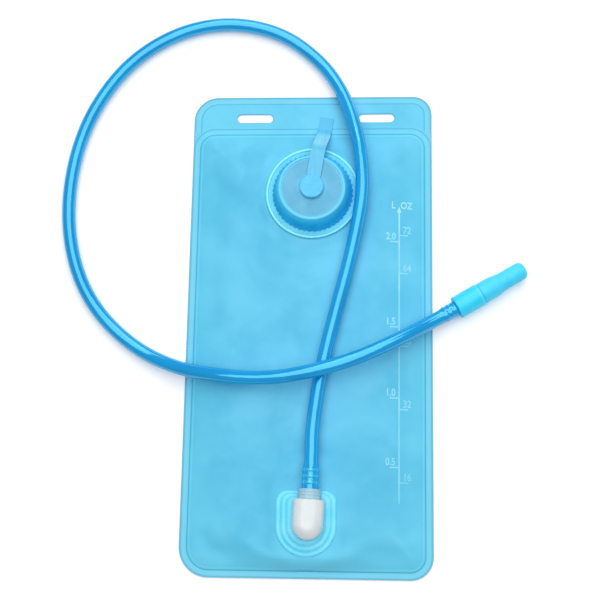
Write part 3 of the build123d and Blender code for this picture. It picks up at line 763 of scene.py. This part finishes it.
def build_hose():
    """A tube with a real bore along the spline, in rings that don't twist."""
    line = centreline(HOSE_ROUTE)
    places = np.array([tuple(p) for p in line]) / MM
    along = np.r_[0, np.cumsum(np.linalg.norm(np.diff(places, axis=0), axis=1))]
    length = along[-1]
    middle = along[(along > START_FITTING) & (along < length - END_FITTING)]
    stations = np.r_[np.arange(0, START_FITTING, 0.45), middle, length - np.arange(14.8, -0.01, -0.4)]
    stations = np.unique(np.clip(stations, 0, length).round(4))
    centres = np.c_[[np.interp(stations, along, places[:, k]) for k in range(3)]].T
    ways = np.gradient(centres, stations, axis=0)
    ways[0] = OUTLET_WAY
    ways[-1] = VALVE_WAY
    ways /= np.linalg.norm(ways, axis=1)[:, None]
    outer, inner, pressed = hose_profile(stations, length)
    angles = 2 * np.pi * np.arange(HOSE_SIDES) / HOSE_SIDES
    side = np.cross(ways[0], (0, 0, 1.0))
    vertices = []
    for centre, way, out, bore in zip(centres, ways, outer, inner):
        side = side - way * side.dot(way)
        side /= np.linalg.norm(side)
        up = np.cross(side, way)
        ring = np.outer(np.cos(angles), side) + np.outer(np.sin(angles), up)
        vertices += [centre + ring * out, centre + ring * bore]
    # each station has an outer ring and then an inner one
    faces = []
    last = 2 * (len(stations) - 1) * HOSE_SIDES
    for j in range(HOSE_SIDES):
        k = (j + 1) % HOSE_SIDES
        for a in range(0, last, 2 * HOSE_SIDES):
            b = a + 2 * HOSE_SIDES
            faces.append((a + j, b + j, b + k, a + k))
            a, b = a + HOSE_SIDES, b + HOSE_SIDES
            faces.append((a + k, b + k, b + j, a + j))
        faces.append((j, k, HOSE_SIDES + k, HOSE_SIDES + j))
        faces.append((last + k, last + j, last + HOSE_SIDES + j, last + HOSE_SIDES + k))
    hose = piece("hose_tube", np.vstack(vertices), faces, HOSE_LOOK, "bag", ["drink_hose"], sharp=50)
    store(hose, "pressed", np.repeat(pressed, 2 * HOSE_SIDES))


build_hose()


# ---------------------------------------------------------------- the tether strap

STRAP_END = (11.0, 159.0)  # the middle of its welded end
STRAP_HALF, STRAP_THICKNESS = 5.0, 1.0
STRAP_EYE, STRAP_HOLE = 8.0, 4.0  # radii of its round end and of the hole there
STRAP_LEAVES, STRAP_LANDS = 25.0, 54.5  # from the cap's axis: where it leaves the cap and reaches the bag


def build_strap():
    """A soft strip from the header over the cap's rim to an eye round the button's stem."""
    way = np.array(STRAP_END) - (CAP_X, CAP_Y)
    reach = np.linalg.norm(way)
    way /= reach
    across = np.array([way[1], -way[0]])
    # the strip's lower face, seen from the side: run along the table, and height
    high, low = STRAP_TOP - STRAP_THICKNESS, 2 * FILM
    run = np.linspace(-STRAP_EYE, reach, 2000)
    rise = high + (low - high) * smooth((run - STRAP_LEAVES) / (STRAP_LANDS - STRAP_LEAVES))
    steps = np.r_[0, np.cumsum(np.hypot(np.diff(run), np.diff(rise)))] - STRAP_EYE
    total = steps[-1]
    # the strip laid flat: u along it from the eye's middle, and w across it
    outline = [(u, STRAP_HALF) for u in np.arange(total, 7.2, -1.5)]
    outline += arc(0, 0, STRAP_EYE, 38.7, 321.3, 45)
    outline += [(u, -STRAP_HALF) for u in np.arange(7.4, total, 1.5)]
    outline += [(total, w) for w in (-STRAP_HALF, *np.arange(-3.75, 4.9, 1.25))]
    grid_u, grid_w = np.meshgrid(np.arange(-7, total, 1.3), np.arange(-7, 7.1, 1.4))
    u, w = grid_u.ravel(), grid_w.ravel()
    from_eye = np.hypot(u, w)
    in_eye = (from_eye < STRAP_EYE - 0.8) & (from_eye > STRAP_HOLE + 0.5)
    in_strip = (abs(w) < STRAP_HALF - 0.5) & (u > 4.8) & (u < total - 0.6)

    def outside(u, w):
        from_eye = math.hypot(u, w)
        return from_eye < STRAP_HOLE - 0.02 or (from_eye > STRAP_EYE + 0.02 and abs(w) > STRAP_HALF + 0.01)

    flat, faces = cut_sheet(
        outline, [circle_loop(0, 0, STRAP_HOLE, 32)], np.c_[u, w][in_eye | in_strip], outside
    )
    # the flat strip bent along its side view
    place_run = np.interp(flat[:, 0], steps, run)
    place_rise = np.interp(flat[:, 0], steps, rise)
    slope = np.interp(flat[:, 0], steps, np.gradient(rise, run))
    layers = []
    for offset in (STRAP_THICKNESS, 0.0):
        t = place_run - offset * slope / np.hypot(1, slope)
        x = CAP_X + t * way[0] + flat[:, 1] * across[0]
        y = CAP_Y + t * way[1] + flat[:, 1] * across[1]
        layers.append(np.c_[x, y, place_rise + offset / np.hypot(1, slope) + lift(x, y)])
    # across is right of way, so the flat faces are turned over to look up
    vertices, closed = closed_mesh(*layers, [f[::-1] for f in faces])
    strap = piece("strap_strip", vertices, closed, STRAP_LOOK, None, ["tether_strap"], sharp=50)
    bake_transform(strap)


build_strap()


# ---------------------------------------------------------------- the port's flange

# Radius of the round end, reach of the straight sides, and radius of the corners
PORT_EDGE, PORT_MIDDLE = (21.2, 24.3, 8.0), (9.7, 17.9, 3.2)
# Inset from the outer edge and height above the film, over three soft terraces
PORT_PROFILE = [
    (0.0, -0.4), (0.0, 0.05), (0.35, 0.5), (0.9, 0.88), (1.5, 1.04), (2.2, 1.04), (2.8, 1.06),
    (3.4, 1.24), (4.0, 1.62), (4.6, 1.98), (5.3, 2.16), (6.1, 2.17), (6.8, 2.2), (7.4, 2.38),
    (8.0, 2.7), (8.6, 2.98), (9.3, 3.14), (10.2, 3.17), (11.5, 3.15),
]


def d_loop(radius, reach, corner, count=24):
    """Points round a D: a round end of this radius towards -Y, straight sides, and two rounded corners."""
    side = np.linspace(0, reach - corner, count + 2)[1:-1]
    across = np.linspace(radius - corner, corner - radius, count + 2)[1:-1]
    points = arc(0, 0, radius, 180, 360, 2 * count)
    points += [(radius, y) for y in side]
    points += arc(radius - corner, reach - corner, corner, 0, 90, count)
    points += [(x, reach) for x in across]
    points += arc(corner - radius, reach - corner, corner, 90, 180, count)
    points += [(-radius, y) for y in side[::-1]]
    return np.array(points)


def build_port_flange():
    """Three soft terraces, each with a rounded lip, in place of the CAD's flange."""
    outer, middle = d_loop(*PORT_EDGE), d_loop(*PORT_MIDDLE)
    full_inset = PORT_PROFILE[-1][0]
    rings = []
    for inset, rise in PORT_PROFILE:
        x, y = (outer + (middle - outer) * inset / full_inset).T
        # the collar and the hose's end lie over the straight side, so the lips fade out under them
        under = smooth((7.9 - abs(x - 1.4 - 0.05 * y)) / 1.6) * smooth((y - 12) / 3.0)
        z = FILM_TOP + rise * (1 - under) + np.minimum(rise, 0.35) * under
        rings.append(np.c_[x + PORT_X, y + PORT_Y, z])
    count = len(outer)
    last = (len(rings) - 1) * count
    faces = [tuple(reversed(range(count))), tuple(range(last, last + count))]
    for a in range(0, last, count):
        for j in range(count):
            k = (j + 1) % count
            faces.append((a + j, a + k, a + count + k, a + count + j))
    piece("port_terraces", np.vstack(rings), faces, PORT_LOOK, "bag", ["port_flange"], sharp=65)


build_port_flange()


# ---------------------------------------------------------------- the printed scale

SCALE_X, SCALE_TOP, SCALE_LOW = 64.2, 84.5, -124.4
LITRES = {"2.0": 62.1, "1.5": -0.4, "1.0": -51.0, "0.5": -99.5}
OUNCES = {"72": 67.0, "64": 39.0, "48": -14.0, "32": -59.1, "16": -110.0}
LINE_WIDTH, TICK_WIDTH, TICK_FROM, TICK_TO = 1.1, 0.9, 0.6, 6.5
ARROW = [(-1.6, -0.5), (1.6, -0.5), (0.0, 4.0)]  # from the line's upper end
UNITS_AT, NUMBER_ABOVE_TICK = 87.1, 1.6
CHARACTER_HEIGHT, CAPITAL_SHARE, CHARACTER_SQUEEZE = 5.2, 0.72, 0.8
INK_ABOVE, INK_BELOW = 0.05, 0.02  # how far the ink stands above the film, and reaches into it


def on_film(flat, faces):
    """Vertices for a flat ink shape laid on the front sheet, as a thin closed skin."""
    top = front_top(flat[:, 0] / DRAWN_IN_X, flat[:, 1] / DRAWN_IN_Y)
    return thick_sheet(flat, faces, top + INK_ABOVE, top - INK_BELOW)


def bar(x0, y0, x1, y1, width):
    """A flat strip from one point to another, in short steps: (points, faces)."""
    run = np.array([x1 - x0, y1 - y0], float)
    length = np.linalg.norm(run)
    side = np.array([-run[1], run[0]]) / length * width / 2
    steps = max(1, int(length / 1.5))
    points = []
    for i in range(steps + 1):
        middle = np.array([x0, y0]) + run * i / steps
        points += [middle - side, middle + side]
    return np.array(points), [(2 * i, 2 * i + 2, 2 * i + 3, 2 * i + 1) for i in range(steps)]


def lettering(text, x, y):
    """A flat shape for generic scale characters, from Blender's own font: (points, faces)."""
    curve = bpy.data.curves.new("scale_text", "FONT")
    curve.body, curve.size = text, CHARACTER_HEIGHT / CAPITAL_SHARE
    curve.align_x = "CENTER"
    curve.resolution_u = 3
    curve.offset = 0.16
    mesh = curve_mesh("scale_text", curve)
    points = np.array([(v.co.x * CHARACTER_SQUEEZE + x, v.co.y + y) for v in mesh.vertices])
    faces = []
    for polygon in mesh.polygons:
        face = tuple(polygon.vertices)
        a, b, c = points[list(face[:3])]
        turn = (b[0] - a[0]) * (c[1] - a[1]) - (b[1] - a[1]) * (c[0] - a[0])
        faces.append(face if turn > 0 else face[::-1])
    bpy.data.meshes.remove(mesh)
    return points, faces


def build_scale():
    """The scale's line, arrow, ticks, numbers and units, as one skin of ink."""
    shapes = [bar(SCALE_X, SCALE_LOW, SCALE_X, SCALE_TOP, LINE_WIDTH)]
    shapes.append((np.array(ARROW) + (SCALE_X, SCALE_TOP), [(0, 1, 2)]))
    for text, y in LITRES.items():
        shapes.append(bar(SCALE_X - TICK_TO, y, SCALE_X - TICK_FROM, y, TICK_WIDTH))
        shapes.append(lettering(text, SCALE_X - 6.0, y + NUMBER_ABOVE_TICK))
    for text, y in OUNCES.items():
        shapes.append(bar(SCALE_X + TICK_FROM, y, SCALE_X + TICK_TO, y, TICK_WIDTH))
        shapes.append(lettering(text, SCALE_X + 5.6, y + NUMBER_ABOVE_TICK))
    shapes.append(lettering("L", SCALE_X - 4.2, UNITS_AT))
    shapes.append(lettering("OZ", SCALE_X + 5.2, UNITS_AT))
    vertices, faces, first = [], [], 0
    for flat, flat_faces in shapes:
        points, closed = on_film(flat, flat_faces)
        vertices.append(points)
        faces += [tuple(first + i for i in f) for f in closed]
        first += len(points)
    piece("scale_print", np.vstack(vertices), faces, INK_LOOK, "bag", sharp=30)


build_scale()


# ---------------------------------------------------------------- stage, light and camera

FLOOR_HALF, FLOOR_BELOW = 14.0, -0.0004
CAMERA_TURNS = (15.9, 76.4, -15.3)  # degrees: azimuth, elevation and roll
CAMERA_AIM, CAMERA_AWAY, CAMERA_LENS = (-0.0069, 0.0208, 0), 0.95, 79.2


def build_stage():
    material, tree, principled = shader(
        "pale_floor",
        Roughness=0.6,
        Specular_IOR_Level=0.1,
        Emission_Color=(1, 1, 1, 1),
        Emission_Strength=0.12,
    )
    cloud = clouds(tree, object_place(tree), 200)
    feed(tree, principled, Base_Color=mixed(tree, cloud, (0.93, 0.93, 0.93), (0.95, 0.95, 0.95)))
    mesh = bpy.data.meshes.new("floor")
    corners = [(x * FLOOR_HALF, y * FLOOR_HALF, FLOOR_BELOW) for x, y in ((-1, -1), (1, -1), (1, 1), (-1, 1))]
    mesh.from_pydata(corners, [], [(0, 1, 2, 3)])
    mesh.materials.append(material)
    floor = bpy.data.objects.new("floor", mesh)
    bpy.context.scene.collection.objects.link(floor)


def area_light(name, place, target, size, watts):
    light = bpy.data.lights.new(name, "AREA")
    light.shape, light.size, light.energy = "SQUARE", size, watts
    obj = bpy.data.objects.new(name, light)
    obj.location = place
    obj.rotation_euler = (Vector(target) - Vector(place)).to_track_quat("-Z", "Y").to_euler()
    bpy.context.scene.collection.objects.link(obj)


def build_world(strength):
    world = bpy.data.worlds.new("studio")
    world.use_nodes = True
    background = world.node_tree.nodes["Background"]
    background.inputs["Color"].default_value = (1, 1, 1, 1)
    background.inputs["Strength"].default_value = strength
    bpy.context.scene.world = world
    bpy.context.scene.view_settings.view_transform = "Standard"


def build_camera():
    azimuth, elevation, roll = (math.radians(a) for a in CAMERA_TURNS)
    level = math.cos(elevation)
    back = Vector((math.sin(azimuth) * level, -math.cos(azimuth) * level, math.sin(elevation)))
    right = Vector((0, 0, 1)).cross(back).normalized()
    up = back.cross(right)
    image_right = math.cos(roll) * right + math.sin(roll) * up
    image_up = math.cos(roll) * up - math.sin(roll) * right
    turn = Matrix((image_right, image_up, back)).transposed().to_4x4()
    camera = bpy.data.objects.new("camera", bpy.data.cameras.new("camera"))
    camera.data.sensor_width, camera.data.lens = 36, CAMERA_LENS
    camera.matrix_world = Matrix.Translation(Vector(CAMERA_AIM) + back * CAMERA_AWAY) @ turn
    bpy.context.scene.collection.objects.link(camera)
    bpy.context.scene.camera = camera


build_stage()
area_light("overhead", (0.06, 0.15, 1.5), (0, 0, 0), 1.85, 22.6)
area_light("behind", (0.1, 1.45, 1.15), (0, 0.1, 0), 1.0, 6.8)
build_world(0.30)
build_camera()
